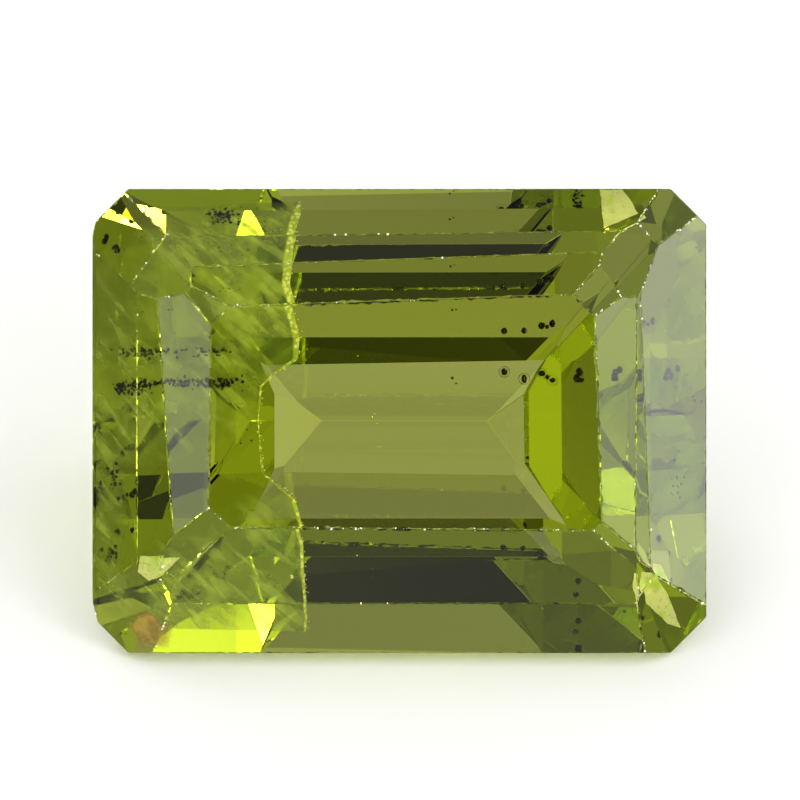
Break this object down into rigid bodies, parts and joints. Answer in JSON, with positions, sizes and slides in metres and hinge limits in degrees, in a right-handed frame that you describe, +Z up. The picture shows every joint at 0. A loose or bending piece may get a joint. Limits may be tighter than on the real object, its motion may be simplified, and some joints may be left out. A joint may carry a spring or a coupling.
{
  "type": "octagon-cut peridot",
  "caption": "Loose faceted peridot in an octagon step cut: a long table with stepped facets around it, cropped corners and a keeled underside.",
  "frame": {"origin": "middle of the box around the resting stone, at the surface that it rests on", "axes": "+X along the stone's length, +Z up, the table tilted up and towards -Y"},
  "size_m": [0.008, 0.0046, 0.0051],
  "materials": {
    "peridot": "polished clear yellow-green crystal"
  },
  "bodies": {
    "root": {"peridot": "peridot"}
  },
  "joints": []
}
